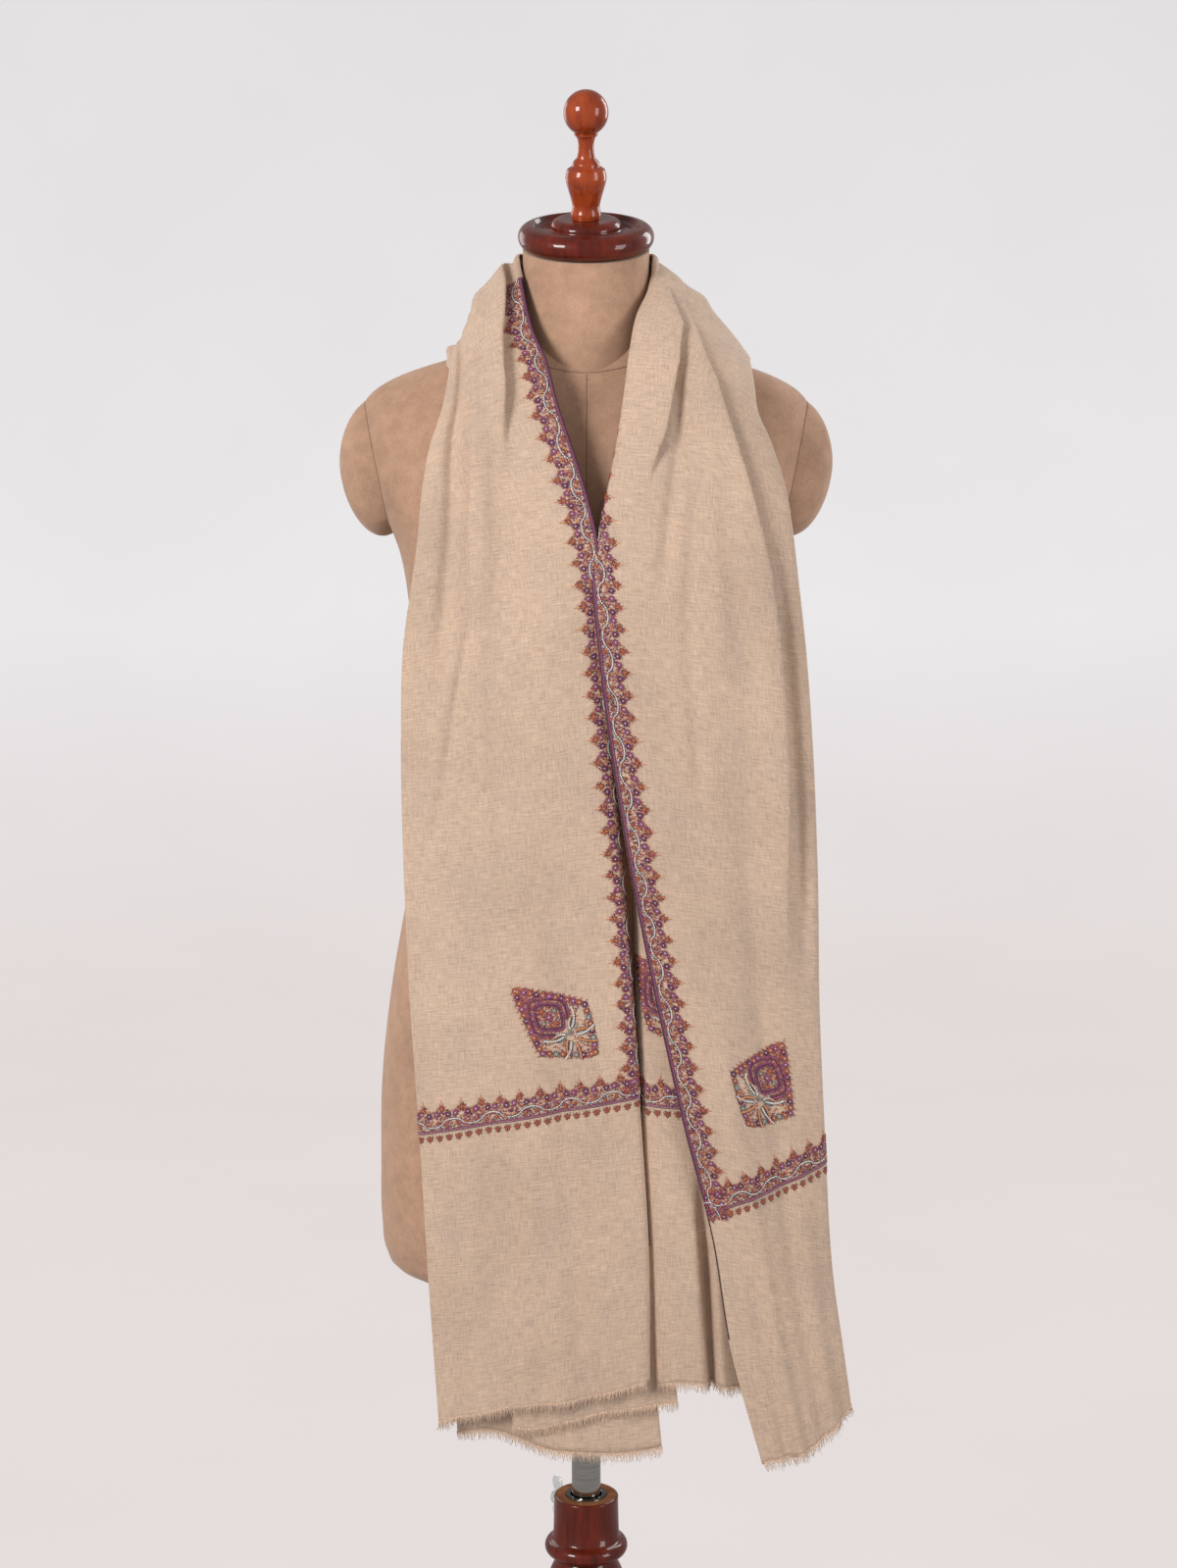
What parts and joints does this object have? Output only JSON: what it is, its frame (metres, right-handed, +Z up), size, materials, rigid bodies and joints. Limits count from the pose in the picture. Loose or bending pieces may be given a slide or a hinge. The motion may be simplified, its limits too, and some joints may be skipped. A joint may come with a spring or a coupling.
{
  "type": "pashmina shawl on a limbless dress form with stand",
  "caption": "Embroidered pashmina shawl laid round the neck of a padded limbless dress form on a height-adjustable turned wooden stand.",
  "frame": {"origin": "centre of the stand's underside", "axes": "+Z up along the pole; the form faces -Y; +X is on the right in the front view"},
  "size_m": [0.4188, 0.38, 1.5996],
  "materials": {
    "pashmina": "fine plain weave with a soft sheen, embroidered borders",
    "fringe": "short loose yarn ends",
    "suede": "mottled suede nap",
    "mahogany": "dark red gloss lacquer",
    "nickel": "satin",
    "screw": "clear"
  },
  "bodies": {
    "stand": {"stand_foot": "mahogany", "stand_column": "mahogany", "pole_ring": "nickel"},
    "screw": {"wing_screw": "screw"},
    "pole": {"pole": "nickel"},
    "form": {"form_torso": "suede", "form_neck": "suede", "arm_cap_left": "suede", "arm_cap_right": "suede", "neck_cap": "mahogany", "finial": "mahogany", "shawl_neck": "pashmina", "shawl_left_front": "pashmina", "shawl_left_rear": "pashmina", "shawl_left_middle": "pashmina", "shawl_right_front": "pashmina", "shawl_right_rear": "pashmina", "fringe_left_front": "fringe", "fringe_left_rear": "fringe", "fringe_left_middle": "fringe", "fringe_right_front": "fringe", "fringe_right_rear": "fringe"}
  },
  "joints": [
    {"name": "height", "type": "slide", "parent": "stand", "child": "pole", "axis": [0, 0, 1], "range_m": [-0.05, 0.12]},
    {"name": "swivel", "type": "hinge", "parent": "pole", "child": "form", "pos_m": [0, 0, 0.62], "axis": [0, 0, 1], "continuous": true},
    {"name": "screw_turn", "type": "hinge", "parent": "stand", "child": "screw", "pos_m": [0, 0, 0.404], "axis": [-0.6157, 0.788, 0], "range_deg": [0, 180]}
  ]
}
